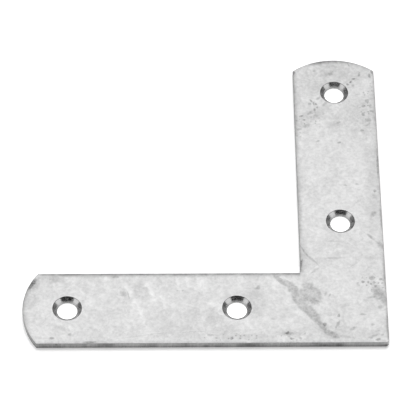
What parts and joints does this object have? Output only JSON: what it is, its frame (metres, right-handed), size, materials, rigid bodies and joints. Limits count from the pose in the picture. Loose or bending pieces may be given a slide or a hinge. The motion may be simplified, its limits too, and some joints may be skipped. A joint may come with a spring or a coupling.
{
  "type": "flat corner brace",
  "caption": "Flat L-shaped corner brace of galvanised sheet steel, with crowned tips and countersunk screw holes.",
  "frame": {"origin": "on the back face, where the centre lines of the two arms cross", "axes": "one arm runs along -X and the other along +Y; +Z is the thickness, out of the upper face, where the countersinks open"},
  "size_m": [0.0999, 0.0999, 0.002],
  "materials": {
    "galvanised_steel": "hot-dip zinc coat, dull and cloudy, with bare grey sheared edges and bright countersinks"
  },
  "bodies": {
    "root": {"corner_plate": "galvanised_steel"}
  },
  "joints": []
}
